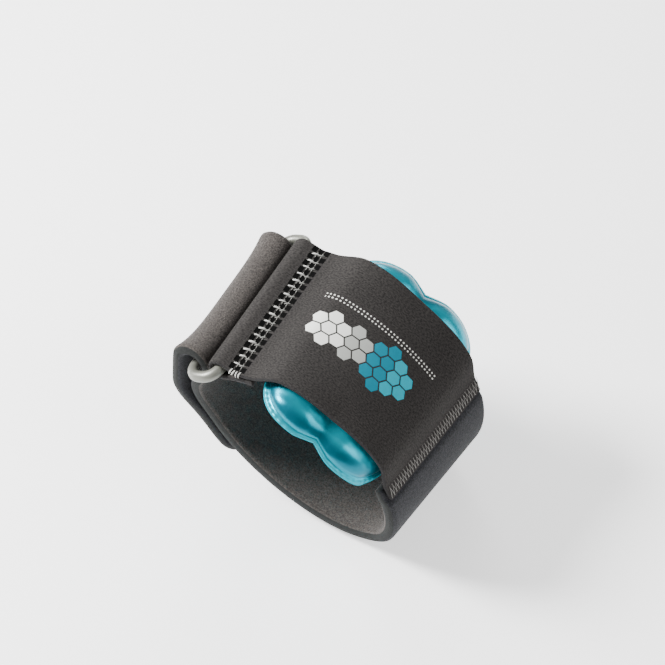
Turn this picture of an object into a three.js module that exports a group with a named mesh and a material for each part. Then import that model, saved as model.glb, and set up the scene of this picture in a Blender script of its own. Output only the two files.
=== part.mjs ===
// A tennis elbow strap in its worn shape: a gel pad under a cover panel, a buckle ring in the
// panel's hem, and a neoprene band that goes round the back, through the ring and back over itself.
// Millimetres. The hollow inside the strap runs along Y, with its wide end towards +Y. Turns are
// degrees round its oval section, from the middle of the panel towards the band's sewn end. Lifts
// are heights over that section.
import * as THREE from "three";
import { mergeVertices } from "three/addons/utils/BufferGeometryUtils.js";

// Hollow that the strap goes round, and a taper is a growth for each millimetre of length
const hollowWidth = 77;
const hollowTop = 27.5; // from the widest line out to the middle of the panel's side
const hollowBottom = 24; // from the widest line out to the other side
const sideTaper = 0.06;
const topTaper = 0.02;
const wornTurn = 32; // the middle of the panel leans this far from +Z towards +X

// Neoprene band
const bandWidth = 57;
const bandThickness = 4.6;
const foldThickness = 3.8; // from the buckle on
const sewnThickness = 3; // where it is sewn under the panel
const bandNecking = 5; // how much narrower it is where it is stretched
const bandSlant = 4; // how far it lies towards +Y at the back
const bandStartTurn = 40.5;
const bandEndTurn = 192;
const bandEndRadius = 9; // corners of the free end
const foldSlack = 0.4; // how loosely it goes round the bar
const foldFlare = 2.8; // how far the near rim of the fold curls outwards
const farFlareShare = 0.5; // how much of that its far rim does

// Cover panel
const panelWidth = 58;
const panelNarrowing = 3.5; // how much narrower it is at its sewn end
const panelThickness = 2;
const panelEndTurn = 47;
const hemTurn = -66;
const hemReturn = 11.5; // how far the folded hem reaches back past the ring's bar

// Gel pad
const padStartTurn = -44.5;
const padEndTurn = 39;
const padWidth = 78; // along the hollow
const padNearShare = 0.955; // of that half width, on the near side
const padFarShare = 1.05; // and at the far lobe by the sewn end
const padLobeTurn = 4; // how many degrees the lobes outside the panel reach further
const padRise = 5.8; // how far it lifts the panel over the hollow
const padSink = 2; // how far its underside bulges into the hollow
const lobePuff = 1.1; // how much higher its lobes lift the edges of the panel
const lobeSwell = 0.9; // how much higher they swell beyond the panel
const notchDepth = 2.8;
const notchWidth = 8;
const creaseDepth = 2.6; // how far the top sinks at the notch
const flangeWidth = 1.8;
const flangeThickness = 0.9;

// Buckle ring
const barDiameter = 3.6;
const ringCornerRadius = 4.6;
const ringSideGap = 1.3; // between the ring's ends and the rims of the wider sheet

// Hook tab
const tabLength = 34;
const tabThickness = 1.6;
const tabMargin = 3; // inside the band's rims

// Between pieces that touch
const clearance = 0.3;

const colours = {
  panel: 0x4a4745,
  band: 0x37383c,
  gel: 0x0f93a8,
  ring: 0x9a9c99,
  hook: 0x1c1c1e,
};

const barRadius = barDiameter / 2;
const radians = THREE.MathUtils.degToRad;
const degrees = THREE.MathUtils.radToDeg;
const smooth = THREE.MathUtils.smoothstep;
const mix = THREE.MathUtils.lerp;

// The numbers from one to another, both included, at most a step apart.
function steps(from, to, step) {
  const count = Math.ceil(Math.abs(to - from) / step);
  return Array.from({ length: count + 1 }, (_, i) => mix(from, to, i / count));
}

// The point (x, z) at that turn and lift, on the hollow's section at y.
function onHollow(turn, lift, y) {
  const halfWidth = hollowWidth / 2 + sideTaper * y;
  const sine = Math.sin(radians(turn));
  const cosine = Math.cos(radians(turn));
  const height = (cosine > 0 ? hollowTop : hollowBottom) + topTaper * y;
  const outwards = new THREE.Vector2(sine / halfWidth, cosine / height).normalize();
  return new THREE.Vector2(halfWidth * sine, height * cosine).addScaledVector(outwards, lift);
}

// The turn at which a point with that lift is some distance away from another point, both at y 0.
function turnAway(point, distance, lift, startTurn, step) {
  let turn = startTurn;
  while (onHollow(turn, lift, 0).distanceTo(point) < distance) turn += step;
  return turn;
}

const turnPast = (turn, distance) => turnAway(onHollow(turn, 0, 0), distance, 0, turn, 0.1);

const tabEndTurn = turnPast(bandEndTurn, tabLength);
const sewnEndTurn = turnPast(panelEndTurn, clearance);

// Buckle ring: one bar lies in the panel's hem, and the band turns back over the other
const hemRadius = barRadius + clearance + panelThickness / 2;
const foldRadius = barRadius + clearance + foldSlack + foldThickness / 2;
const barSpacing = hemRadius + panelThickness / 2 + clearance + foldThickness / 2 + foldRadius;
const hemLift = panelThickness + clearance + barRadius;
const foldLift = foldThickness / 2 + foldRadius;
const hemMiddle = onHollow(hemTurn, hemLift, 0);
const foldTurn = turnAway(hemMiddle, barSpacing, foldLift, hemTurn, -0.1);
const towardsFold = onHollow(foldTurn, foldLift, 0).sub(hemMiddle).normalize();
const lean = onHollow(hemTurn, hemLift, 0.5).sub(onHollow(hemTurn, hemLift, -0.5));
const towardsFoldAngle = degrees(Math.atan2(towardsFold.y, towardsFold.x));

// The middle of the bar in the hem, and of the bar in the fold, at y.
const hemBar = (y) => hemMiddle.clone().addScaledVector(lean, y);
const foldBar = (y) => hemBar(y).addScaledVector(towardsFold, barSpacing);

// The point at an angle round a bar, counted from the direction of the hem's bar to the fold's.
function roundBar(middle, radius, angle) {
  const direction = radians(towardsFoldAngle + angle);
  const arm = new THREE.Vector2(Math.cos(direction), Math.sin(direction));
  return middle.clone().addScaledVector(arm, radius);
}

// A closed mesh from its corners and its four-sided faces.
function meshOf(corners, faces) {
  const geometry = new THREE.BufferGeometry();
  const numbers = corners.flatMap((corner) => corner.toArray());
  geometry.setAttribute("position", new THREE.Float32BufferAttribute(numbers, 3));
  geometry.setIndex(faces.flatMap(([a, b, c, d]) => [a, b, c, a, c, d]));
  const merged = mergeVertices(geometry, 1e-4);
  merged.computeVertexNormals();
  return merged;
}

// The faces between rings of corners, which are listed one ring after the other.
function skin(ringCount, perRing, isLoop = false) {
  const faces = [];
  for (let i = 0; i < (isLoop ? ringCount : ringCount - 1); i++) {
    const a = i * perRing;
    const b = ((i + 1) % ringCount) * perRing;
    for (let j = 0; j < perRing; j++) {
      const next = (j + 1) % perRing;
      faces.push([a + j, b + j, b + next, a + next]);
    }
  }
  return faces;
}

// A sheet's rounded rim, from its outermost line in, in shares of half the thickness
const rim = [
  { inset: 0, height: 0.34 },
  { inset: 0.16, height: 0.78 },
  { inset: 0.55, height: 1 },
];

// A closed solid of a sheet, from stations along it: at(y) is the middle of its wall at y, near and
// far are its rims' y, and curl is how far the rims bend to its left.
function sheetOf(stations, across) {
  const cornersAt = ({ thickness, near, far, curl = 0 }, i) => {
    const half = thickness / 2;
    const inset = rim.at(-1).inset * half;
    const flat = Array.from({ length: across + 1 }, (_, k) => mix(near + inset, far - inset, k / across));
    const side = rim.slice(0, -1);
    const upper = [
      ...side.map((r) => ({ y: near + r.inset * half, height: r.height })),
      ...flat.map((y) => ({ y, height: 1 })),
      ...side.toReversed().map((r) => ({ y: far - r.inset * half, height: r.height })),
    ];
    const corner = ({ y, height }, face) => {
      const before = stations[Math.max(i - 1, 0)].at(y);
      const after = stations[Math.min(i + 1, stations.length - 1)].at(y);
      const along = after.sub(before).normalize();
      const toRim = (2 * y - near - far) / (far - near);
      const flared = curl * toRim ** 4 * (toRim < 0 ? 1 : farFlareShare);
      const up = half * height * face + flared;
      const at = stations[i].at(y).add(new THREE.Vector2(-along.y, along.x).multiplyScalar(up));
      return new THREE.Vector3(at.x, y, at.y);
    };
    return [...upper.map((u) => corner(u, 1)), ...upper.map((u) => corner(u, -1)).toReversed()];
  };
  const rings = stations.map(cornersAt);
  const perRing = rings[0].length;
  const last = (rings.length - 1) * perRing;
  const faces = skin(rings.length, perRing);
  for (let j = 0; j + 1 < perRing / 2; j++) {
    faces.push([j, j + 1, perRing - 2 - j, perRing - 1 - j]);
    faces.push([last + j, last + perRing - 1 - j, last + perRing - 2 - j, last + j + 1]);
  }
  return meshOf(rings.flat(), faces);
}

// Gel pad

const padTurn = (along) => mix(padStartTurn, padEndTurn, (along + 1) / 2);
const padTurnAt = (along, y) => {
  const outside = smooth(Math.abs(y), panelWidth / 2 + clearance, padWidth / 2 - 2 * flangeWidth);
  return padTurn(along) + padLobeTurn * outside * smooth(along, 0.5, 1);
};
const padAlong = (turn) => (2 * (turn - padStartTurn)) / (padEndTurn - padStartTurn) - 1;
const padLength = onHollow(padStartTurn, 0, 0).distanceTo(onHollow(padEndTurn, 0, 0));
const atNotch = (along) => Math.exp(-((along / (notchWidth / padLength)) ** 2));
const atLobe = (along) => Math.exp(-(((Math.abs(along) - 0.5) / 0.36) ** 2));

const panelHalf = (turn) => (panelWidth - panelNarrowing * smooth(turn, hemTurn, panelEndTurn)) / 2;

// How high the panel's inner face lies, over its own hem, the pad and the band's sewn end.
function coverLift(turn, y) {
  const along = padAlong(turn);
  const overHem = panelThickness + clearance;
  const overPad = mix(overHem, padRise + clearance, smooth(along, -1.1, -0.65));
  const overBand = mix(overPad, sewnThickness + clearance, smooth(along, 0.7, 1.03));
  const atEdge = smooth(Math.abs(y), 0.3 * panelHalf(turn), panelHalf(turn));
  return overBand + lobePuff * atLobe(along) * atEdge * smooth(1 - Math.abs(along), 0, 0.3);
}

// A point of the pad's outline, in shares of half its length and half its width.
function padOutline(angle) {
  const squareness = 0.58;
  const along = Math.sign(Math.cos(angle)) * Math.abs(Math.cos(angle)) ** squareness;
  const across = Math.sign(Math.sin(angle)) * Math.abs(Math.sin(angle)) ** squareness;
  const side = across < 0 ? padNearShare : mix(1, padFarShare, smooth(along, 0, 0.8));
  return { along, across: across * side * (1 - (notchDepth / (padWidth / 2)) * atNotch(along)) };
}

function gelPad() {
  const around = 60;
  const shares = [0.22, 0.42, 0.58, 0.7, 0.8, 0.88, 0.94, 0.98, 1];
  const flangeBottom = 0.15;
  const flangeTop = flangeBottom + flangeThickness;
  const place = (along, y, lift) => {
    const at = onHollow(padTurnAt(along, y), lift, y);
    return new THREE.Vector3(at.x, y, at.y);
  };
  const topLift = (along, y, share) => {
    const edge = panelHalf(padTurn(along));
    const under = Math.sign(y) * Math.min(Math.abs(y), edge);
    const swell = lobeSwell * smooth(Math.abs(y), edge + 0.5, edge + 3.5);
    const crease = creaseDepth * atNotch(along) * smooth(Math.abs(y), 0.7 * edge, edge + 2);
    const roof = coverLift(padTurn(along), under) - clearance + swell - crease;
    return mix(flangeTop, roof, Math.sqrt(1 - share ** 6));
  };
  const bottomLift = (share) => mix(flangeBottom, -padSink, Math.sqrt(1 - share ** 2));
  const surface = (angle, share, isTop) => {
    const outline = padOutline(angle);
    const along = outline.along * (1 - (2 * flangeWidth) / padLength) * share;
    const y = outline.across * (padWidth / 2 - flangeWidth) * share;
    return place(along, y, isTop ? topLift(along, y, share) : bottomLift(share));
  };
  const edge = (angle, lift) => {
    const outline = padOutline(angle);
    return place(outline.along, (outline.across * padWidth) / 2, lift);
  };
  const ring = (make) => Array.from({ length: around }, (_, i) => make((2 * Math.PI * i) / around));
  const rings = [
    ...[0, ...shares].map((share) => ring((angle) => surface(angle, share, true))),
    ring((angle) => edge(angle, flangeTop)),
    ring((angle) => edge(angle, flangeBottom)),
    ...[0, ...shares].toReversed().map((share) => ring((angle) => surface(angle, share, false))),
  ];
  return meshOf(rings.flat(), skin(rings.length, around));
}

// Cover panel: from the end of its hem, under and round the ring's bar, and over the pad to the band
function coverPanel() {
  const middle = panelThickness / 2;
  const flapTurn = turnPast(hemTurn, 1.8 * hemRadius);
  const hemEndTurn = turnPast(hemTurn, hemReturn);
  const station = (turn, at) => ({
    at,
    thickness: panelThickness,
    near: -panelHalf(turn),
    far: panelHalf(turn),
  });
  const stations = [
    ...steps(hemEndTurn, hemTurn + 1, 3).map((turn) => station(hemTurn, (y) => onHollow(turn, middle, y))),
    ...steps(90, -135, 20).map((angle) => station(hemTurn, (y) => roundBar(hemBar(y), hemRadius, angle))),
    ...steps(flapTurn, panelEndTurn, 3.2).map((turn) =>
      station(turn, (y) => onHollow(turn, coverLift(turn, y) + middle, y)),
    ),
  ];
  return sheetOf(stations, 12);
}

// Neoprene band: from its sewn end round the back, through the ring, and on to its free end
function neopreneBand() {
  const underBar = foldTurn + 360;
  const sewnTurns = steps(bandStartTurn, sewnEndTurn, 3.5);
  const freeTurns = steps(sewnEndTurn + 3, underBar - 5, 5);
  const inner = [...sewnTurns, ...freeTurns].map((turn) => {
    const sewn = turn > sewnEndTurn ? 0 : 1;
    const squeezed = smooth(turn, underBar - 50, underBar - 15);
    const thickness = mix(mix(bandThickness, foldThickness, squeezed), sewnThickness, sewn);
    const stretched = smooth(turn, bandStartTurn, 110) * (1 - smooth(turn, underBar - 60, underBar));
    return { at: (y) => onHollow(turn, thickness / 2, y), thickness, stretched, turn };
  });
  const outerLift = bandThickness + clearance + foldThickness / 2;
  const landingTurn = underBar - 24;
  const towardsHollow = onHollow(foldTurn, 0, 0).sub(foldBar(0));
  const towardsLanding = onHollow(landingTurn, outerLift, 0).sub(foldBar(0));
  const leaving = Math.acos(foldRadius / towardsLanding.length());
  const loopStart = degrees(towardsHollow.angle()) - 360 - towardsFoldAngle;
  const loopEnd = degrees(towardsLanding.angle() - leaving) - towardsFoldAngle;
  const loop = steps(loopStart, loopEnd, 14).map((angle) => ({
    at: (y) => roundBar(foldBar(y), foldRadius, angle),
    thickness: foldThickness,
    stretched: 0,
    turn: underBar,
    curl: -foldFlare * smooth(angle, loopStart + 70, loopEnd - 40),
  }));
  const outer = steps(landingTurn, bandEndTurn, 5).map((turn) => {
    const overTab = (tabThickness + clearance) * (1 - smooth(turn, tabEndTurn + 1, landingTurn));
    return {
      at: (y) => onHollow(turn, outerLift + overTab, y),
      thickness: foldThickness,
      stretched: 1 - smooth(turn, landingTurn - 40, landingTurn),
      turn,
      curl: -foldFlare * smooth(turn, landingTurn - 30, landingTurn + 8),
    };
  });
  const end = onHollow(bandEndTurn, bandThickness, 0);
  const stations = [...inner, ...loop, ...outer].map((station, i, all) => {
    const isOuter = i >= all.length - outer.length;
    const toEnd = isOuter ? station.at(0).distanceTo(end) - bandThickness / 2 : bandEndRadius;
    const inCorner = Math.max(0, bandEndRadius - Math.max(0, toEnd));
    const corner = bandEndRadius - Math.sqrt(bandEndRadius ** 2 - inCorner ** 2);
    const half = (bandWidth - bandNecking * station.stretched) / 2 - corner;
    const shift = (bandSlant * (1 - Math.cos(radians(station.turn)))) / 2;
    const slant = shift * smooth(station.turn, 60, 120) * (1 - smooth(station.turn, underBar - 60, underBar));
    return { ...station, near: slant - half, far: slant + half };
  });
  return sheetOf(stations, 6);
}

// Hook tab: between the band's free end and the length under it
function hookTab() {
  const lift = bandThickness + clearance + tabThickness / 2;
  const half = (bandWidth - bandNecking) / 2 - tabMargin;
  const stations = steps(bandEndTurn + 2, tabEndTurn, 5).map((turn) => ({
    at: (y) => onHollow(turn, lift, y),
    thickness: tabThickness,
    near: bandSlant - half,
    far: bandSlant + half,
  }));
  return sheetOf(stations, 4);
}

// Buckle ring: a round bar along a rounded rectangle, which leans as the bars do
function buckleRing() {
  const perSection = 12;
  const halfLength = Math.max(bandWidth, panelWidth) / 2 + ringSideGap + barRadius;
  const corners = [
    { across: 1, along: 1, from: 0 },
    { across: 0, along: 1, from: 90 },
    { across: 0, along: -1, from: 180 },
    { across: 1, along: -1, from: 270 },
  ];
  const acrossCorner = (corner) => mix(ringCornerRadius, barSpacing - ringCornerRadius, corner.across);
  const alongCorner = (corner) => corner.along * (halfLength - ringCornerRadius);
  const normal = new THREE.Vector3(-towardsFold.y, 0, towardsFold.x);
  const sideways = new THREE.Vector3(towardsFold.x, 0, towardsFold.y);
  const lengthways = new THREE.Vector3(lean.x, 1, lean.y);
  const origin = new THREE.Vector3(hemMiddle.x, 0, hemMiddle.y);
  const section = (corner, angle) => {
    const outwards = sideways
      .clone()
      .multiplyScalar(Math.cos(radians(angle)))
      .addScaledVector(lengthways, Math.sin(radians(angle)));
    const middle = origin
      .clone()
      .addScaledVector(sideways, acrossCorner(corner))
      .addScaledVector(lengthways, alongCorner(corner))
      .addScaledVector(outwards, ringCornerRadius);
    return Array.from({ length: perSection }, (_, i) => {
      const round = (2 * Math.PI * i) / perSection;
      return middle
        .clone()
        .addScaledVector(outwards, barRadius * Math.cos(round))
        .addScaledVector(normal, barRadius * Math.sin(round));
    });
  };
  const sections = corners.flatMap((corner) =>
    steps(corner.from, corner.from + 90, 15).map((angle) => section(corner, angle)),
  );
  return meshOf(sections.flat(), skin(sections.length, perSection, true));
}

function piece(name, geometry, colour, roughness, metalness = 0) {
  const material = new THREE.MeshStandardMaterial({ color: colour, roughness, metalness });
  const mesh = new THREE.Mesh(geometry, material);
  mesh.name = name;
  return mesh;
}

const strap = new THREE.Group();
strap.add(
  piece("cover_panel", coverPanel(), colours.panel, 0.85),
  piece("gel_pad", gelPad(), colours.gel, 0.25),
  piece("neoprene_band", neopreneBand(), colours.band, 0.9),
  piece("buckle_ring", buckleRing(), colours.ring, 0.35),
  piece("hook_tab", hookTab(), colours.hook, 0.95),
);
strap.rotation.y = radians(wornTurn);

export default strap;
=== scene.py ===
from functools import reduce
from math import acos, atan2, cos, degrees, exp, pi, radians, sin, sqrt
from random import Random

import bpy
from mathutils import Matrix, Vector


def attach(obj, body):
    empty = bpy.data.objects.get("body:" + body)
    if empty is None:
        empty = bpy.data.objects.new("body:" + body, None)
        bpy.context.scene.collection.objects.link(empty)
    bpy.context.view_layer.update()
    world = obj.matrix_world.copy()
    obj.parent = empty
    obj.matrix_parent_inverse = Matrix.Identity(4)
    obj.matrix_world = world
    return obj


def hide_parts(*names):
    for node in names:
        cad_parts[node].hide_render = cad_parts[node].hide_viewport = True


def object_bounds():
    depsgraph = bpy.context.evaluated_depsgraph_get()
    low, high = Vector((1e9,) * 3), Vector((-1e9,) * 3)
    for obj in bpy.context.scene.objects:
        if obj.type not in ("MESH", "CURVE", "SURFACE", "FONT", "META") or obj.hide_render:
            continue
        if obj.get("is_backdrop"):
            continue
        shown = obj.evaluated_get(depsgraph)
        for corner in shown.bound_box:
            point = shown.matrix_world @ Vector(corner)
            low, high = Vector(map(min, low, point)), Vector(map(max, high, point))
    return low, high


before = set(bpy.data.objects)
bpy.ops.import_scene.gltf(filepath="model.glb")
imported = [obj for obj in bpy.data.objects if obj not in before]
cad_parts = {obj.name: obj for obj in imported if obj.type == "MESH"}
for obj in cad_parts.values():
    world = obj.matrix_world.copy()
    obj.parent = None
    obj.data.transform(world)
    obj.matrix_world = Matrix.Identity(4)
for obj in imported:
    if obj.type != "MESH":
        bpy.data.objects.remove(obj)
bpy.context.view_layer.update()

# A tennis elbow strap, dressed: a cover panel with its stitching and print, a gel pad, a buckle
# ring and a neoprene band. Lengths are millimetres until place() turns them into metres of the
# frame. Turns are degrees round the hollow's oval, from the middle of the panel towards the sewn
# end.
MM = 0.001
WORN_TURN = radians(32)

HOLLOW_HALF_WIDTH = 38.5
HOLLOW_TOP = 27.5
HOLLOW_BOTTOM = 24
SIDE_TAPER = 0.06
TOP_TAPER = 0.02

BAND_WIDTH = 57
BAND_THICKNESS = 4.6
FOLD_THICKNESS = 3.8
SEWN_THICKNESS = 3
BAND_NECKING = 5  # how much narrower it is where it is stretched
BAND_SLANT = 4
BAND_START = 40.5
BAND_END = 192
BAND_END_RADIUS = 9
FOLD_SLACK = 0.4
FOLD_FLARE = 2.8
FAR_FLARE_SHARE = 0.5
SLANT_TURNS = (60, 120)  # where its slant grows
STRETCHED_TURN = 110  # from where on it is stretched
BAR_APPROACH = 60  # how many degrees before the bar its slant and stretch begin to fade
SQUEEZE_APPROACH = (50, 15)  # and between which it is squeezed thinner
LANDING_APPROACH = 24  # and at which the length past the fold lies down

PANEL_WIDTH = 58
PANEL_NARROWING = 3.5
PANEL_THICKNESS = 2
PANEL_END = 47
HEM_TURN = -66
HEM_RETURN = 11.5
HEM_ROUND = (90, -135)  # angles round the bar that the hem covers
FLAP_REACH = 1.8  # from the bar to where the top lies on the hem, in hem radii

PAD_START = -44.5
PAD_END = 39
PAD_WIDTH = 78
PAD_NEAR_SHARE = 0.955
PAD_FAR_SHARE = 1.05
PAD_LOBE_TURN = 4
PAD_SQUARENESS = 0.58
PAD_RISE = 5.8
PAD_SINK = 2
LOBE_SPREAD = 0.36
LOBE_PUFF = 1.1
LOBE_SWELL = 0.9
SWELL_REACH = (0.5, 3.5)  # past the panel's rim, where the lobes swell
NOTCH_DEPTH = 2.8
NOTCH_WIDTH = 8
CREASE_DEPTH = 2.6
FLANGE_WIDTH = 1.8
FLANGE_THICKNESS = 0.9
FLANGE_BOTTOM = 0.15
FLANGE_LATITUDE = 84  # on the ball, with 0 in the middle of a face and 90 at its girth
HEM_TO_PAD = (-1.1, -0.65)  # along the pad, where the panel climbs onto it
PAD_TO_BAND = (0.7, 1.03)  # and where it comes down to the band

BAR_RADIUS = 1.8
RING_CORNER = 4.6
RING_SIDE_GAP = 1.3
TAB_LENGTH = 34
TAB_THICKNESS = 1.6
CLEARANCE = 0.3

LADDER_START = 3.2  # from the end of the hem's round to the first needle line
LADDER_LINES = 3
LADDER_SPACING = 2.3
LADDER_PITCH = 3.2
HOLE_ALONG = 0.9  # from the middle of a needle hole to its sides
HOLE_ACROSS = 1.15
HOLE_MARGIN = 1  # between the panel's rims and the last holes
LADDER_SWAY = 0.25
LADDER_LEAN = (0.1, 0.45)
LADDER_REACH = (0.15, 0.6)  # past its needle line
THREAD_RADIUS = 0.24
THICK_RADIUS = (0.26, 0.4)  # of the threads beside the hem
LINK_HALF = 1.2
LINK_RADIUS = 0.18
LOOSE_ENDS = (0.4, 1.5, 2.9, 4.2)  # past the first needle line
LOOSE_SWAY = (-0.6, 0.2)
ZIGZAG_WIDTH = 4.4
ZIGZAG_PITCH = 0.7
ZIGZAG_INSET = 1.0
ZIGZAG_MARGIN = 0.3  # between the panel's rims and the last threads
ZIGZAG_SWAY = 0.2
ZIGZAG_SLANT = (0.4, 0.7)
ZIGZAG_RADIUS = 0.12
STITCH_CUTS = (-0.3, 0.0, 0.3)  # from the middle of a stitch to its bends, in its lengths
STITCH_TAPER = 0.45  # how much thinner its ends are
STITCH_FLATNESS = 0.8

PRINT_MIDDLE = 37.5  # from the end of the hem's round
PRINT_SHIFT = 1.6  # towards the near rim
HEXAGON_SLOPE = 0.866
HEXAGON_REACH = 2.2  # from the middle of a hexagon to its sides
HEXAGON_GAP = 0.5
HEXAGON_EDGE = 0.08  # how far the ink fades out at its edge
DOT_ROWS = (9.6, 10.9)
DOT_PITCH = 1.3
DOT_RADIUS = 0.3
DOT_EDGE = 0.06
DOTS_START = -20  # from the middle of the print
DOTS_END = 23.6
DOTS_FADE = 0.2

# How fine the visible surfaces are, in degrees or in faces
UNDER_STEP, TUBE_STEP, TOP_STEP = 1.4, 11, 1.3
SEWN_STEP, BAND_STEP, LOOP_STEP = 1.5, 2.2, 8
PANEL_ACROSS, BAND_ACROSS = 52, 36
PAD_SEGMENTS, PAD_RINGS = 144, 64


def mix(a, b, share):
    return a + (b - a) * share


def smooth(value, low, high):
    share = min(1.0, max(0.0, (value - low) / (high - low)))
    return share * share * (3 - 2 * share)


def steps(start, end, step):
    """The numbers from start to end, both included, about a step apart."""
    count = max(1, round(abs(end - start) / step))
    return [mix(start, end, i / count) for i in range(count + 1)]


def place(x, y, z):
    """The point of the frame, in metres, for a point of the strap's own upright frame."""
    turned_x = x * cos(WORN_TURN) + z * sin(WORN_TURN)
    turned_z = -x * sin(WORN_TURN) + z * cos(WORN_TURN)
    return Vector((turned_x, y, turned_z)) * MM


def on_hollow(turn, lift, y):
    """The point (x, z) at that turn, lifted off the hollow's section at y."""
    half_width = HOLLOW_HALF_WIDTH + SIDE_TAPER * y
    sine, cosine = sin(radians(turn)), cos(radians(turn))
    height = (HOLLOW_TOP if cosine > 0 else HOLLOW_BOTTOM) + TOP_TAPER * y
    outwards = Vector((sine / half_width, cosine / height)).normalized()
    return Vector((half_width * sine, height * cosine)) + outwards * lift


def turn_away(point, distance, lift, turn, step):
    """The first turn at which a point with that lift is the distance away from another point."""
    while (on_hollow(turn, lift, 0) - point).length < distance:
        turn += step
    return turn


def turn_past(turn, distance):
    return turn_away(on_hollow(turn, 0, 0), distance, 0, turn, 0.1)


# Where the ring's two bars lie, as in the model that the frame holds
HEM_RADIUS = BAR_RADIUS + CLEARANCE + PANEL_THICKNESS / 2
FOLD_RADIUS = BAR_RADIUS + CLEARANCE + FOLD_SLACK + FOLD_THICKNESS / 2
BAR_SPACING = HEM_RADIUS + PANEL_THICKNESS / 2 + CLEARANCE + FOLD_THICKNESS / 2 + FOLD_RADIUS
HEM_LIFT = PANEL_THICKNESS + CLEARANCE + BAR_RADIUS
FOLD_LIFT = FOLD_THICKNESS / 2 + FOLD_RADIUS
HEM_MIDDLE = on_hollow(HEM_TURN, HEM_LIFT, 0)
FOLD_TURN = turn_away(HEM_MIDDLE, BAR_SPACING, FOLD_LIFT, HEM_TURN, -0.1)
TOWARDS_FOLD = (on_hollow(FOLD_TURN, FOLD_LIFT, 0) - HEM_MIDDLE).normalized()
LEAN = on_hollow(HEM_TURN, HEM_LIFT, 0.5) - on_hollow(HEM_TURN, HEM_LIFT, -0.5)
TOWARDS_FOLD_ANGLE = degrees(atan2(TOWARDS_FOLD.y, TOWARDS_FOLD.x))
TAB_END = turn_past(BAND_END, TAB_LENGTH)
SEWN_END = turn_past(PANEL_END, CLEARANCE)


def hem_bar(y):
    return HEM_MIDDLE + LEAN * y


def fold_bar(y):
    return hem_bar(y) + TOWARDS_FOLD * BAR_SPACING


def round_bar(middle, radius, angle):
    direction = radians(TOWARDS_FOLD_ANGLE + angle)
    return middle + Vector((cos(direction), sin(direction))) * radius


# Shapes that the gel pad and the panel share. Along the pad, its ends are at -1 and 1.

PAD_LENGTH = (on_hollow(PAD_END, 0, 0) - on_hollow(PAD_START, 0, 0)).length


def pad_turn(along):
    return mix(PAD_START, PAD_END, (along + 1) / 2)


def pad_along(turn):
    return 2 * (turn - PAD_START) / (PAD_END - PAD_START) - 1


def at_notch(along):
    """1 at the notch between the two lobes, falling to 0 beside it."""
    return exp(-((along * PAD_LENGTH / NOTCH_WIDTH) ** 2))


def at_lobe(along):
    """1 in the middle of each lobe, falling to 0 beside it."""
    return exp(-(((abs(along) - 0.5) / LOBE_SPREAD) ** 2))


def panel_half(turn):
    """Half the panel's width at that turn."""
    return (PANEL_WIDTH - PANEL_NARROWING * smooth(turn, HEM_TURN, PANEL_END)) / 2


def cover_lift(turn, y):
    """How high the panel's inner face lies, over its own hem, the pad and the band's sewn end."""
    along = pad_along(turn)
    over_hem = PANEL_THICKNESS + CLEARANCE
    over_pad = mix(over_hem, PAD_RISE + CLEARANCE, smooth(along, *HEM_TO_PAD))
    over_band = mix(over_pad, SEWN_THICKNESS + CLEARANCE, smooth(along, *PAD_TO_BAND))
    at_edge = smooth(abs(y), 0.3 * panel_half(turn), panel_half(turn))
    puff = LOBE_PUFF * at_lobe(along) * at_edge * smooth(1 - abs(along), 0, 0.3)
    return over_band + puff


# Modelling

def select_none():
    if bpy.context.mode != "OBJECT":
        bpy.ops.object.mode_set(mode="OBJECT")
    bpy.ops.object.select_all(action="DESELECT")


def make_active(piece):
    select_none()
    piece.select_set(True)
    bpy.context.view_layer.objects.active = piece


def named(name):
    """The piece that was just added, under its own name."""
    piece = bpy.context.active_object
    piece.name = name
    return piece


def apply_modifier(piece, name, kind, **settings):
    modifier = piece.modifiers.new(name, kind)
    for key, value in settings.items():
        setattr(modifier, key, value)
    make_active(piece)
    bpy.ops.object.modifier_apply(modifier=name)


def face_outwards(piece):
    """Turn all its faces outwards, and shade them smooth."""
    make_active(piece)
    bpy.ops.object.mode_set(mode="EDIT")
    bpy.ops.mesh.select_all(action="SELECT")
    bpy.ops.mesh.normals_make_consistent(inside=False)
    bpy.ops.object.mode_set(mode="OBJECT")
    bpy.ops.object.shade_smooth()


def fill_slots(piece, *materials):
    piece.data.materials.clear()
    for material in materials:
        piece.data.materials.append(material)


def fill_uv(piece, uv_of):
    """Give its UV map the places that are listed, one for each vertex."""
    uv_map = piece.data.uv_layers.active.data
    for loop in piece.data.loops:
        uv_map[loop.index].uv = uv_of[loop.vertex_index]


def over_hollow(turn, lift):
    """The line across the strap at that turn and lift, as a function of y."""
    return lambda y: on_hollow(turn, lift, y)


def over_pad(turn):
    return lambda y: on_hollow(turn, cover_lift(turn, y) + PANEL_THICKNESS / 2, y)


def round_hem(angle):
    return lambda y: round_bar(hem_bar(y), HEM_RADIUS, angle)


def round_fold(angle):
    return lambda y: round_bar(fold_bar(y), FOLD_RADIUS, angle)


def ways_along(stations):
    """How far each station is from the first one, measured along the middle of the cloth."""
    ways = [0.0]
    for before, after in zip(stations, stations[1:]):
        ways.append(ways[-1] + (after["at"](0) - before["at"](0)).length)
    return ways


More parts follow.
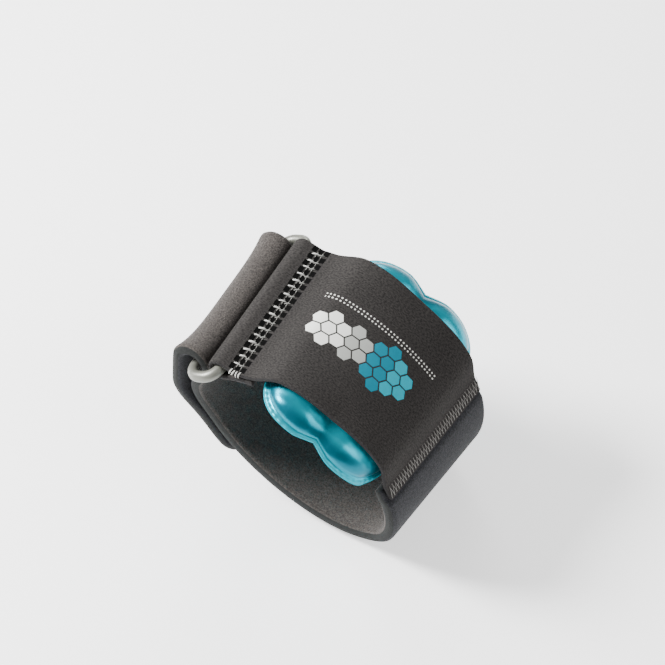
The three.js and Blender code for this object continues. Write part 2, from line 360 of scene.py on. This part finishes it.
def laid_cloth(name, stations, across, thickness, materials, thinned=False):
    """A sheet that follows stations: a grid is added, its rows are laid along the stations, and it
    gets its wall. Its UV map holds the way along it and across it, in metres. The materials are
    those of its outer face, its inner face and its cut edge."""
    per_row = len(stations)
    select_none()
    bpy.ops.mesh.primitive_grid_add(
        x_subdivisions=per_row - 1, y_subdivisions=across, size=1, calc_uvs=True
    )
    cloth = named(name)
    fill_slots(cloth, *materials)
    ways = ways_along(stations)
    uv_of = []
    for k, vertex in enumerate(cloth.data.vertices):
        i, j = k % per_row, k // per_row
        near, far = stations[i]["near"], stations[i]["far"]
        y = mix(near, far, j / across)
        before = stations[max(i - 1, 0)]["at"](y)
        after = stations[min(i + 1, per_row - 1)]["at"](y)
        along = (after - before).normalized()
        outwards = Vector((-along.y, along.x))
        to_rim = (2 * y - near - far) / (far - near)
        flared = stations[i].get("curl", 0) * to_rim**4 * (1 if to_rim < 0 else FAR_FLARE_SHARE)
        at = stations[i]["at"](y) + outwards * flared
        vertex.co = place(at.x, y, at.y)
        uv_of.append((ways[i] * MM, y * MM))
    fill_uv(cloth, uv_of)
    wall = {"thickness": thickness * MM, "offset": 0, "use_even_offset": True, "use_rim": True}
    if thinned:
        group = cloth.vertex_groups.new(name="wall")
        for k in range(len(cloth.data.vertices)):
            group.add([k], stations[k % per_row]["thickness"] / thickness, "REPLACE")
        wall["vertex_group"] = group.name
    apply_modifier(cloth, "wall", "SOLIDIFY", material_offset=1, material_offset_rim=2, **wall)
    apply_modifier(cloth, "round", "SUBSURF", levels=1, render_levels=1)
    face_outwards(cloth)
    return cloth, ways[-1]


# Materials

class Value:
    """A shader number that can be reckoned with."""

    def __init__(self, finish, socket):
        self.finish = finish
        self.socket = socket

    def __add__(self, other):
        return self.finish.math("ADD", self, other)

    def __sub__(self, other):
        return self.finish.math("SUBTRACT", self, other)

    def __rsub__(self, other):
        return self.finish.math("SUBTRACT", other, self)

    def __mul__(self, other):
        return self.finish.math("MULTIPLY", self, other)

    def __truediv__(self, other):
        return self.finish.math("DIVIDE", self, other)

    def __abs__(self):
        return self.finish.math("ABSOLUTE", self)

    __radd__ = __add__
    __rmul__ = __mul__


class Finish:
    """A material and its nodes."""

    def __init__(self, name, **constants):
        self.material = bpy.data.materials.new(name)
        self.material.use_nodes = True
        self.tree = self.material.node_tree
        self.shader = self.tree.nodes["Principled BSDF"]
        self.show(**constants)

    def show(self, **channels):
        """Set or link the shader's inputs, named with _ for each blank."""
        for key, value in channels.items():
            self.feed(self.shader.inputs[key.replace("_", " ")], value)

    def feed(self, socket, value):
        if isinstance(value, Value):
            value = value.socket
        if isinstance(value, bpy.types.NodeSocket):
            self.tree.links.new(value, socket)
        else:
            socket.default_value = value

    def node(self, kind, settings=None, inputs=None):
        node = self.tree.nodes.new(kind)
        for key, value in (settings or {}).items():
            setattr(node, key, value)
        for key, value in (inputs or {}).items():
            self.feed(node.inputs[key], value)
        return node

    def math(self, operation, *values):
        node = self.node("ShaderNodeMath", {"operation": operation}, dict(enumerate(values)))
        return Value(self, node.outputs[0])

    def greatest(self, values):
        return reduce(lambda a, b: self.math("MAXIMUM", a, b), values)

    def ramp(self, value, low, high):
        """0 below low and 1 above high, with a smooth rise, or a fall where low is above high."""
        settings = {"interpolation_type": "SMOOTHSTEP"}
        inputs = {"Value": value, "From Min": low, "From Max": high}
        return Value(self, self.node("ShaderNodeMapRange", settings, inputs).outputs[0])

    def wave(self, value, period):
        """A smooth wave from 0 to 1 with that period."""
        return self.math("SINE", value * (2 * pi / period)) * 0.5 + 0.5

    def uv(self):
        uv_map = self.node("ShaderNodeUVMap").outputs[0]
        split = self.node("ShaderNodeSeparateXYZ", inputs={0: uv_map})
        return Value(self, split.outputs[0]), Value(self, split.outputs[1])

    def uv_vector(self, scale_along, scale_across):
        along, across = self.uv()
        inputs = {0: along * scale_along, 1: across * scale_across, 2: 0.0}
        return self.node("ShaderNodeCombineXYZ", inputs=inputs).outputs[0]

    def object_place(self):
        return self.node("ShaderNodeTexCoord").outputs["Object"]

    def noise(self, scale, detail, roughness=0.55, at=None):
        inputs = {
            "Vector": at or self.object_place(),
            "Scale": scale,
            "Detail": detail,
            "Roughness": roughness,
        }
        return Value(self, self.node("ShaderNodeTexNoise", inputs=inputs).outputs["Fac"])

    def cells(self, scale):
        inputs = {"Vector": self.object_place(), "Scale": scale}
        return Value(self, self.node("ShaderNodeTexVoronoi", inputs=inputs).outputs["Distance"])

    def blend(self, share, a, b):
        """The colour a where share is 0, and b where it is 1."""
        settings = {"data_type": "RGBA", "blend_type": "MIX"}
        inputs = {"Factor": share, 6: a, 7: b}
        return self.node("ShaderNodeMix", settings, inputs).outputs[2]

    def bump(self, height, distance, strength):
        inputs = {"Height": height, "Distance": distance * MM, "Strength": strength}
        self.show(Normal=self.node("ShaderNodeBump", inputs=inputs).outputs[0])


def colour(red, green, blue):
    """Linear light from a colour as seen on a screen, 0 to 255."""
    def linear(value):
        share = value / 255
        return share / 12.92 if share <= 0.04045 else ((share + 0.055) / 1.055) ** 2.4

    return (linear(red), linear(green), linear(blue), 1.0)


def needle_holes(finish, along, across):
    """The holes of the ladder stitch, in lines beside the hem, whose mask paints them black as the
    shade inside them.
    """
    half_pitch = LADDER_PITCH * MM / 2
    holes = []
    for line in range(LADDER_LINES):
        middle = (SEAM_START + LADDER_START + line * LADDER_SPACING) * MM
        off_line = abs(along - middle) / (HOLE_ALONG * MM)
        off_hole = finish.math("PINGPONG", across - half_pitch, half_pitch) / (HOLE_ACROSS * MM)
        holes.append(finish.ramp(finish.greatest([off_line, off_hole]), 1.08, 0.86))
    rim = PANEL_WIDTH / 2
    return finish.greatest(holes) * finish.ramp(abs(across), rim * MM, (rim - HOLE_MARGIN) * MM)


def hexagon(finish, along, across, mark):
    u = abs(along - mark["along"])
    v = abs(across - mark["across"])
    reach = finish.greatest([v, u * HEXAGON_SLOPE + v * 0.5])
    return finish.ramp(
        reach, (HEXAGON_REACH + HEXAGON_EDGE) * MM, (HEXAGON_REACH - HEXAGON_EDGE) * MM
    )


def dotted_row(finish, along, across, row):
    start = (SEAM_START + PRINT_MIDDLE + DOTS_START) * MM
    end = (SEAM_START + PRINT_MIDDLE + DOTS_END) * MM
    off_row = abs(across - row * MM)
    off_dot = abs(finish.math("PINGPONG", along - start, DOT_PITCH / 2 * MM))
    distance = finish.math("SQRT", off_row * off_row + off_dot * off_dot)
    dots = finish.ramp(distance, (DOT_RADIUS + DOT_EDGE) * MM, (DOT_RADIUS - DOT_EDGE) * MM)
    past_start = finish.ramp(along, start - DOTS_FADE * MM, start)
    before_end = finish.ramp(along, end + DOTS_FADE * MM, end)
    return dots * past_start * before_end


def hexagon_field():
    """Where the hexagons of the print lie, column by column, and their inks."""
    step_across = 2 * HEXAGON_REACH + HEXAGON_GAP
    step_along = step_across * HEXAGON_SLOPE
    light, grey = colour(225, 225, 220), colour(160, 162, 158)
    teal, deep_teal = colour(0, 158, 178), colour(0, 120, 142)
    columns = [
        (2, light), (3, light), (2, light), (3, grey), (2, grey),
        (3, deep_teal), (4, deep_teal), (3, teal), (2, teal),
    ]
    middle = (len(columns) - 1) / 2
    return [
        {
            "along": (SEAM_START + PRINT_MIDDLE + (i - middle) * step_along) * MM,
            "across": ((k - (count - 1) / 2) * step_across - PRINT_SHIFT) * MM,
            "ink": ink,
        }
        for i, (count, ink) in enumerate(columns)
        for k in range(count)
    ]


def panel_cloth():
    """Closely woven cloth, with needle holes painted black as the shade inside them, and a print of
    hexagons and two dotted rows.
    """
    finish = Finish("panel_cloth", Specular_IOR_Level=0.08)
    along, across = finish.uv()
    weave = finish.noise(1, 2, 0.6, at=finish.uv_vector(1300, 2200))
    grain = finish.noise(5200, 3)
    clouds = finish.noise(70, 3)
    light = finish.blend(clouds, colour(51, 49, 48), colour(61, 59, 57))
    dark = finish.blend(clouds, colour(28, 27, 27), colour(35, 33, 33))
    base = finish.blend(finish.ramp(weave * 0.7 + grain * 0.3, 0.34, 0.64), dark, light)
    holes = needle_holes(finish, along, across)
    # Painted shade: the needle holes are coloured near black for the shade inside them.
    base = finish.blend(holes, base, colour(1, 1, 1))
    marks = [(hexagon(finish, along, across, mark), mark["ink"]) for mark in hexagon_field()]
    marks += [(dotted_row(finish, along, across, row), colour(214, 214, 208)) for row in DOT_ROWS]
    for inside, ink in marks:
        base = finish.blend(inside, base, ink)
    inked = finish.greatest([inside for inside, _ in marks])
    finish.show(Base_Color=base, Roughness=0.86 - inked * 0.3 + grain * 0.06)
    height = weave * (0.5 - inked * 0.3) + grain * 0.7 - holes * 4 + inked * 0.4
    finish.bump(height, 0.12, 0.7)
    return finish.material


def neoprene_face():
    """The smooth side of the band's cloth, with a short dark nap."""
    finish = Finish("neoprene_face", Sheen_Weight=0.05, Specular_IOR_Level=0.25)
    nap = finish.noise(1500, 5, 0.7)
    grain = finish.noise(5200, 3)
    clouds = finish.noise(90, 4, 0.6)
    base = finish.blend(finish.ramp(nap, 0.35, 0.7), colour(13, 14, 17), colour(48, 49, 54))
    base = finish.blend(clouds * 0.35, base, colour(20, 20, 23))
    finish.show(Base_Color=base, Roughness=0.8 + grain * 0.12)
    finish.bump(nap + grain * 0.4, 0.2, 0.8)
    return finish.material


def neoprene_back():
    """The reverse side, with a lighter napped cloth that hooks hold on to."""
    finish = Finish("neoprene_back", Sheen_Weight=0.08, Specular_IOR_Level=0.25)
    nap = finish.noise(1700, 5, 0.75)
    tufts = finish.cells(2100)
    clouds = finish.noise(150, 4, 0.65)
    base = finish.blend(finish.ramp(nap, 0.3, 0.72), colour(32, 29, 27), colour(94, 88, 84))
    base = finish.blend(clouds * 0.5, base, colour(44, 41, 39))
    finish.show(Base_Color=base, Roughness=0.88 + tufts * 0.1)
    finish.bump(nap * 1.4 + tufts * 0.5, 0.35, 0.9)
    return finish.material


def cut_edge(name, low, high):
    """The cut edge of a laminate, with the open pores of its foam."""
    finish = Finish(name, Specular_IOR_Level=0.25)
    pores = finish.cells(2400)
    grain = finish.noise(1500, 4)
    base = finish.blend(finish.ramp(pores, 0.1, 0.5), low, high)
    base = finish.blend(grain * 0.5, base, low)
    finish.show(Base_Color=base, Roughness=0.82 + grain * 0.12)
    finish.bump(finish.ramp(pores, 0.05, 0.45) + grain * 0.5, 0.2, 0.9)
    return finish.material


def gel():
    """Pearly turquoise gel in a thin film, with painted shade in a band just inside its welded rim,
    where its top slopes down away from the light.
    """
    finish = Finish("gel", Coat_Roughness=0.14, Specular_IOR_Level=0.2)
    turn, share = finish.uv()
    clouds = finish.noise(75, 3)
    fine = finish.noise(300, 4)
    base = finish.blend(clouds, colour(0, 146, 168), colour(0, 184, 204))
    # Painted shade: a dark teal band on the slope just inside the welded rim, where the top turns
    # away from the light.
    painted_slope_shade = finish.ramp(share, 0.82, 0.93) * finish.ramp(share, 0.985, 0.955)
    base = finish.blend(painted_slope_shade * 0.8, base, colour(0, 74, 92))
    rim = finish.ramp(share, 0.972, 0.99)
    base = finish.blend(rim, base, colour(0, 158, 176))
    finish.show(
        Base_Color=base,
        Roughness=0.26 + fine * 0.12 + rim * 0.12,
        Metallic=0.72 - rim * 0.2,
        Coat_Weight=0.08 - rim * 0.04,
    )
    weld = finish.wave(turn, 5.2 * MM) * rim
    finish.bump(fine * 0.4 + clouds * 1.2 + weld * 0.8, 0.5, 0.35)
    return finish.material


def ring_plastic():
    """Smooth grey plastic with a faint grain, worn paler in places."""
    finish = Finish("ring_plastic", Metallic=0.35, Specular_IOR_Level=0.55)
    grain = finish.noise(2600, 3)
    wear = finish.noise(240, 4)
    base = finish.blend(wear, colour(92, 93, 86), colour(122, 122, 114))
    finish.show(Base_Color=base, Roughness=0.3 + grain * 0.1 + wear * 0.1)
    finish.bump(grain * 0.6 + wear, 0.05, 0.5)
    return finish.material


def thread(name, low, high):
    """Twisted sewing thread, which reads its UV map along and round it."""
    finish = Finish(name, Specular_IOR_Level=0.3)
    along, round_it = finish.uv()
    twist = finish.wave(along + round_it * (0.6 * MM), 0.5 * MM)
    grain = finish.noise(6000, 2)
    base = finish.blend(twist * 0.6 + grain * 0.4, low, high)
    finish.show(Base_Color=base, Roughness=0.6 + grain * 0.15)
    finish.bump(twist, 0.1, 0.6)
    return finish.material


def hook_plastic():
    """Black plastic, closely set with small hooks."""
    finish = Finish("hook_plastic")
    hooks = finish.cells(1250)
    grain = finish.noise(900, 3)
    base = finish.blend(finish.ramp(hooks, 0.5, 0.1), colour(20, 20, 22), colour(52, 52, 55))
    finish.show(Base_Color=base, Roughness=0.55 + grain * 0.3)
    finish.bump(finish.ramp(hooks, 0.5, 0.05), 0.4, 0.9)
    return finish.material


# Cover panel

def panel_stations():
    """The panel's stations: its hem under the bar, round the bar, and its top to the sewn end."""
    flap = turn_past(HEM_TURN, FLAP_REACH * HEM_RADIUS)
    hem_end = turn_past(HEM_TURN, HEM_RETURN)

    def station(turn, at):
        return {"at": at, "near": -panel_half(turn), "far": panel_half(turn)}

    under = [
        station(HEM_TURN, over_hollow(turn, PANEL_THICKNESS / 2))
        for turn in steps(hem_end, HEM_TURN + 1, UNDER_STEP)
    ]
    tube = [station(HEM_TURN, round_hem(angle)) for angle in steps(*HEM_ROUND, TUBE_STEP)]
    top = [station(turn, over_pad(turn)) for turn in steps(flap, PANEL_END, TOP_STEP)]
    return under, tube, top


UNDER, TUBE, TOP = panel_stations()
SEAM_PATH = TUBE[-1:] + TOP
SEAM_START = ways_along(UNDER + TUBE)[-1]  # along the panel, where the hem's round ends
SEAM_LENGTH = ways_along(SEAM_PATH)[-1]


def on_panel(along, y, lift):
    """The point over the panel's outer face that lies this far past the hem's round, and the
    outward direction there, both in the frame."""
    left = along
    for before, after in zip(SEAM_PATH, SEAM_PATH[1:]):
        stride = (after["at"](0) - before["at"](0)).length
        if left <= stride or after is SEAM_PATH[-1]:
            break
        left -= stride
    a, b = before["at"](y), after["at"](y)
    direction = (b - a).normalized()
    outwards = Vector((-direction.y, direction.x))
    at = a + (b - a) * (left / stride) + outwards * (PANEL_THICKNESS / 2 + lift)
    return place(at.x, y, at.y), place(outwards.x, 0, outwards.y).normalized()


def cover_panel():
    face = panel_cloth()
    edge = cut_edge("panel_edge", colour(16, 15, 16), colour(38, 36, 36))
    panel, length = laid_cloth(
        "cover_panel_cloth", UNDER + TUBE + TOP, PANEL_ACROSS, PANEL_THICKNESS, (face, face, edge)
    )
    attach(panel, "root")
    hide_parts("cover_panel")


# Gel pad

def pad_outline(angle):
    """A point of the pad's outline, in shares of half its length and half its width."""
    def squared(value):
        return (1 if value > 0 else -1) * abs(value) ** PAD_SQUARENESS

    along, across = squared(cos(angle)), squared(sin(angle))
    side = PAD_NEAR_SHARE if across < 0 else mix(1, PAD_FAR_SHARE, smooth(along, 0, 0.8))
    return along, across * side * (1 - NOTCH_DEPTH / (PAD_WIDTH / 2) * at_notch(along))


def pad_top(along, y, share):
    """How high the pad's top is. The share is 0 in its middle and 1 at its flange."""
    edge = panel_half(pad_turn(along))
    under = max(-edge, min(edge, y))
    swell = LOBE_SWELL * smooth(abs(y), *(edge + past for past in SWELL_REACH))
    crease = CREASE_DEPTH * at_notch(along) * smooth(abs(y), 0.7 * edge, edge + 2)
    roof = cover_lift(pad_turn(along), under) - CLEARANCE + swell - crease
    return mix(FLANGE_BOTTOM + FLANGE_THICKNESS, roof, sqrt(max(0, 1 - share**6)))


def gel_pad():
    """A ball is added and its rings are spread over the pad: the upper half becomes the top, the
    rings at its middle the welded rim, and the lower half the face towards the hollow."""
    select_none()
    bpy.ops.mesh.primitive_uv_sphere_add(segments=PAD_SEGMENTS, ring_count=PAD_RINGS, radius=1)
    pad = named("gel_pad_film")
    uv_of = []
    for vertex in pad.data.vertices:
        height = max(-1.0, min(1.0, vertex.co.z))
        angle = atan2(vertex.co.y, vertex.co.x)
        latitude = degrees(acos(abs(height)))
        share = sin(radians(min(1, latitude / FLANGE_LATITUDE) * 90))
        flange = max(0.0, (latitude - FLANGE_LATITUDE) / (90 - FLANGE_LATITUDE))
        outline_along, outline_across = pad_outline(angle)
        along = outline_along * mix(1 - 2 * FLANGE_WIDTH / PAD_LENGTH, 1, flange) * share
        y = outline_across * mix(PAD_WIDTH / 2 - FLANGE_WIDTH, PAD_WIDTH / 2, flange) * share
        if height > 0.001:
            lift = pad_top(along, y, share)
        elif height < -0.001:
            lift = mix(FLANGE_BOTTOM, -PAD_SINK, sqrt(max(0, 1 - share**2)))
        else:
            lift = FLANGE_BOTTOM + FLANGE_THICKNESS / 2
        outside = smooth(abs(y), PANEL_WIDTH / 2 + CLEARANCE, PAD_WIDTH / 2 - 2 * FLANGE_WIDTH)
        reach = PAD_LOBE_TURN * outside * smooth(along, 0.5, 1)
        at = on_hollow(pad_turn(along) + reach, lift, y)
        vertex.co = place(at.x, y, at.y)
        uv_of.append((angle * 0.05, share * 0.97 + flange * 0.03))
    fill_uv(pad, uv_of)
    face_outwards(pad)
    fill_slots(pad, gel())
    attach(pad, "root")
    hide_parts("gel_pad")


# Neoprene band

def round_free_end(stations):
    """Cut the corners of the last stations back to a round."""
    left = 0.0
    for station, after in zip(stations[-2::-1], stations[:0:-1]):
        left += (station["at"](0) - after["at"](0)).length
        if left < BAND_END_RADIUS:
            corner = BAND_END_RADIUS - sqrt(BAND_END_RADIUS**2 - (BAND_END_RADIUS - left) ** 2)
            station["near"] += corner
            station["far"] -= corner
    stations[-1]["near"] += BAND_END_RADIUS
    stations[-1]["far"] -= BAND_END_RADIUS


def band_stations():
    """The band's stations: from its sewn end round the back to the ring, round the ring's bar, and
    back over itself to its free end."""
    under_bar = FOLD_TURN + 360
    outer_lift = BAND_THICKNESS + CLEARANCE + FOLD_THICKNESS / 2
    landing = under_bar - LANDING_APPROACH
    to_hollow = on_hollow(FOLD_TURN, 0, 0) - fold_bar(0)
    to_landing = on_hollow(landing, outer_lift, 0) - fold_bar(0)
    leaving = degrees(acos(FOLD_RADIUS / to_landing.length))
    loop_start = degrees(atan2(to_hollow.y, to_hollow.x)) - TOWARDS_FOLD_ANGLE
    loop_end = degrees(atan2(to_landing.y, to_landing.x)) + 360 - leaving - TOWARDS_FOLD_ANGLE
    stations = []

    def before_bar(turn):
        """1 round the back, fading to 0 at the bar."""
        return 1 - smooth(turn, under_bar - BAR_APPROACH, under_bar)

    def add(at, turn, thickness, stretched, curl=0.0):
        shift = BAND_SLANT * (1 - cos(radians(turn))) / 2
        slant = shift * smooth(turn, *SLANT_TURNS) * before_bar(turn)
        half = (BAND_WIDTH - BAND_NECKING * stretched) / 2
        rims = {"near": slant - half, "far": slant + half}
        stations.append({"at": at, "thickness": thickness, "curl": curl, **rims})

    for turn in steps(BAND_START, SEWN_END, SEWN_STEP):
        stretched = smooth(turn, BAND_START, STRETCHED_TURN) * before_bar(turn)
        add(over_hollow(turn, SEWN_THICKNESS / 2), turn, SEWN_THICKNESS, stretched)
    for turn in steps(SEWN_END + 3, under_bar - 5, BAND_STEP):
        squeezed = smooth(turn, *(under_bar - before for before in SQUEEZE_APPROACH))
        thickness = mix(BAND_THICKNESS, FOLD_THICKNESS, squeezed)
        stretched = smooth(turn, BAND_START, STRETCHED_TURN) * before_bar(turn)
        add(over_hollow(turn, thickness / 2), turn, thickness, stretched)
    for angle in steps(loop_start, loop_end, LOOP_STEP):
        curl = -FOLD_FLARE * smooth(angle, loop_start + 70, loop_end - 40)
        add(round_fold(angle), under_bar, FOLD_THICKNESS, 0.0, curl)
    for turn in steps(landing, BAND_END, BAND_STEP):
        over_tab = (TAB_THICKNESS + CLEARANCE) * (1 - smooth(turn, TAB_END + 1, landing))
        stretched = 1 - smooth(turn, landing - 40, landing)
        curl = -FOLD_FLARE * smooth(turn, landing - 30, landing + 8)
        add(over_hollow(turn, outer_lift + over_tab), turn, FOLD_THICKNESS, stretched, curl)
    round_free_end(stations)
    return stations


def neoprene_band():
    edge = cut_edge("neoprene_edge", colour(14, 15, 15), colour(36, 38, 37))
    materials = (neoprene_face(), neoprene_back(), edge)
    band, length = laid_cloth(
        "neoprene_band_cloth", band_stations(), BAND_ACROSS, BAND_THICKNESS, materials, thinned=True
    )
    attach(band, "root")
    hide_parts("neoprene_band")


# Buckle ring

def buckle_ring():
    """A torus the size of the ring's corners is pulled apart, along and across, into a
    rectangle."""
    select_none()
    bpy.ops.mesh.primitive_torus_add(
        major_radius=RING_CORNER, minor_radius=BAR_RADIUS, major_segments=64, minor_segments=32
    )
    ring = named("buckle_ring_bar")
    half_length = PANEL_WIDTH / 2 + RING_SIDE_GAP + BAR_RADIUS
    pulls = (BAR_SPACING / 2 - RING_CORNER, half_length - RING_CORNER)
    normal = Vector((-TOWARDS_FOLD.y, TOWARDS_FOLD.x))
    for vertex in ring.data.vertices:
        for axis, pull in enumerate(pulls):
            if abs(vertex.co[axis]) > 1e-4:
                vertex.co[axis] += pull if vertex.co[axis] > 0 else -pull
        across, along, up = vertex.co
        at = hem_bar(along) + TOWARDS_FOLD * (across + BAR_SPACING / 2) + normal * up
        vertex.co = place(at.x, along, at.y)
    face_outwards(ring)
    fill_slots(ring, ring_plastic())
    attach(ring, "root")
    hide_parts("buckle_ring")


# Stitching

def stitch(start, end, outwards, radius, bow):
    """One stitch: a short bar is added from start to end, flattened, and bowed off the cloth."""
    way = end - start
    length = way.length
    bpy.ops.mesh.primitive_cylinder_add(
        vertices=8, radius=radius * MM, depth=length, end_fill_type="NGON"
    )
    piece = bpy.context.active_object
    bpy.ops.object.mode_set(mode="EDIT")
    for cut in STITCH_CUTS:
        bpy.ops.mesh.select_all(action="SELECT")
        bpy.ops.mesh.bisect(plane_co=(0, 0, cut * length), plane_no=(0, 0, 1))
    bpy.ops.object.mode_set(mode="OBJECT")
    direction = way.normalized()
    side = direction.cross(outwards).normalized()
    up = side.cross(direction).normalized()
    uv_of = []
    for vertex in piece.data.vertices:
        share = vertex.co.z / length + 0.5
        off_middle = abs(2 * share - 1)
        taper = 1 - STITCH_TAPER * off_middle**3
        lift = bow * MM * (1 - off_middle**2)
        uv_of.append((share * length, atan2(vertex.co.y, vertex.co.x)))
        aside = side * vertex.co.x * taper
        above = up * (vertex.co.y * taper * STITCH_FLATNESS + lift)
        vertex.co = start + way * share + aside + above
    fill_uv(piece, uv_of)
    return piece


def join_as(name, stitches, material):
    """Make the stitches one seam."""
    make_active(stitches[0])
    for piece in stitches:
        piece.select_set(True)
    bpy.ops.object.join()
    seam = named(name)
    face_outwards(seam)
    fill_slots(seam, material)
    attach(seam, "root")


def ladder_stitch(random):
    """The hem's cover stitch: pale threads that cross between the three needle lines, short links
    along them, and a few loose ends over the near rim."""
    pale, grey = [], []
    count = int(PANEL_WIDTH / LADDER_PITCH)
    for k in range(count - 1):
        y = (k + 1 - count / 2) * LADDER_PITCH
        for gap in range(LADDER_LINES - 1):
            along = LADDER_START + gap * LADDER_SPACING
            sway = random.uniform(-LADDER_SWAY, LADDER_SWAY)
            lean = random.uniform(*LADDER_LEAN)
            reach = random.uniform(*LADDER_REACH)
            start, outwards = on_panel(along - reach, y - lean + sway, 0.05)
            end, _ = on_panel(along + LADDER_SPACING - 0.2, y + lean + sway, 0.05)
            threads = grey if gap else pale
            radius = THREAD_RADIUS if gap else random.uniform(*THICK_RADIUS)
            threads.append(stitch(start, end, outwards, radius, bow=0.3))
            middle = along + LADDER_SPACING / 2
            start, outwards = on_panel(middle, y - LINK_HALF + sway, 0.02)
            end, _ = on_panel(middle, y + LINK_HALF + sway, 0.02)
            grey.append(stitch(start, end, outwards, LINK_RADIUS, bow=0.12))
    near_rim = -PANEL_WIDTH / 2
    for loose in LOOSE_ENDS:
        along = LADDER_START + loose
        start, outwards = on_panel(along, near_rim + 0.9, 0.05)
        end, _ = on_panel(along + random.uniform(*LOOSE_SWAY), near_rim - 0.5, -1.3)
        pale.append(stitch(start, end, outwards, THREAD_RADIUS, bow=0.45))
    light = thread("pale_thread", colour(150, 150, 145), colour(235, 235, 230))
    dim = thread("dim_thread", colour(84, 84, 81), colour(150, 150, 145))
    join_as("ladder_stitch", pale, light)
    join_as("ladder_links", grey, dim)


def zigzag_stitch(random):
    """The seam that joins the panel to the band: stitches that slant to and fro, from rim to
    rim."""
    stitches = []
    half = (PANEL_WIDTH - PANEL_NARROWING) / 2 - ZIGZAG_MARGIN
    far_end = SEAM_LENGTH - ZIGZAG_INSET
    near_end = far_end - ZIGZAG_WIDTH
    for k in range(int(2 * half / ZIGZAG_PITCH)):
        y = -half + (k + 0.5) * ZIGZAG_PITCH
        sway = random.uniform(-ZIGZAG_SWAY, ZIGZAG_SWAY)
        slant = random.uniform(*ZIGZAG_SLANT) * (1 if k % 2 else -1)
        start, outwards = on_panel(near_end + sway, y - slant, 0.04)
        end, _ = on_panel(far_end + sway, y + slant, 0.04)
        stitches.append(stitch(start, end, outwards, ZIGZAG_RADIUS, bow=0.16))
    grey = thread("grey_thread", colour(84, 82, 80), colour(152, 149, 145))
    join_as("zigzag_stitch", stitches, grey)


# Studio

FLOOR_SIZE = 8  # metres
FLOOR_GAP = 0.5
DAYLIGHT = 0.36


def studio():
    """A pale floor just under the strap, in even white light."""
    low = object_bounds()[0][2]
    select_none()
    bpy.ops.mesh.primitive_plane_add(size=FLOOR_SIZE, location=(0, 0, low - FLOOR_GAP * MM))
    floor = named("floor")
    finish = Finish("pale_floor", Roughness=0.7, Emission_Strength=1.0)
    tone = finish.noise(6, 2)
    base = finish.blend(tone * 0.2, colour(250, 250, 250), colour(245, 245, 246))
    finish.show(Base_Color=base, Emission_Color=base)
    fill_slots(floor, finish.material)
    floor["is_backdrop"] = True
    world = bpy.data.worlds.new("studio")
    world.use_nodes = True
    background = world.node_tree.nodes["Background"]
    background.inputs["Color"].default_value = (1.0, 1.0, 1.0, 1.0)
    background.inputs["Strength"].default_value = DAYLIGHT
    bpy.context.scene.world = world


def aim(thing, target):
    thing.rotation_euler = (target - thing.location).to_track_quat("-Z", "Y").to_euler()


def lamp(name, at, size, power):
    """A soft round lamp that shines on the middle of the strap."""
    bpy.ops.object.light_add(type="AREA", location=at)
    light = named(name)
    light.data.shape = "DISK"
    light.data.size = size
    light.data.energy = power
    aim(light, Vector((0, 0, 0)))


PHOTO_SIDE = 665
PIXELS_PER_MM = 3.08
CAMERA_AZIMUTH = radians(30.3)
CAMERA_ELEVATION = radians(48.5)
CAMERA_DISTANCE = 0.85
ORIGIN_PIXEL = {"x": 333.1, "y": 403.0}  # where the middle of the hollow lies in the photo


def camera_and_lamps():
    """The camera at the photo's angle, and three lamps that stand as it sees them, in metres."""
    away = cos(CAMERA_ELEVATION)
    back = Vector(
        (sin(CAMERA_AZIMUTH) * away, -cos(CAMERA_AZIMUTH) * away, sin(CAMERA_ELEVATION))
    )
    right = Vector((cos(CAMERA_AZIMUTH), sin(CAMERA_AZIMUTH), 0))
    up = back.cross(right)
    aside = (PHOTO_SIDE / 2 - ORIGIN_PIXEL["x"]) / PIXELS_PER_MM * MM
    above = (ORIGIN_PIXEL["y"] - PHOTO_SIDE / 2) / PIXELS_PER_MM * MM
    target = right * aside + up * above
    bpy.ops.object.camera_add(location=target + back * CAMERA_DISTANCE)
    eye = bpy.context.active_object
    aim(eye, target)
    frame_width = PHOTO_SIDE / PIXELS_PER_MM * MM
    eye.data.lens = eye.data.sensor_width * CAMERA_DISTANCE / frame_width
    eye.data.clip_start = 0.01
    bpy.context.scene.camera = eye
    lamp("key", target - right * 0.62 + up * 0.42 + back * 0.3, size=0.28, power=24)
    lamp("fill", target + right * 0.7 + up * 0.1 + back * 0.5, size=0.7, power=4.5)
    lamp("rim", target + up * 0.8 - back * 0.2, size=0.4, power=4)


select_none()
gel_pad()
cover_panel()
neoprene_band()
buckle_ring()
ladder_stitch(Random(4))
zigzag_stitch(Random(7))
fill_slots(bpy.data.objects["hook_tab"], hook_plastic())
studio()
camera_and_lamps()
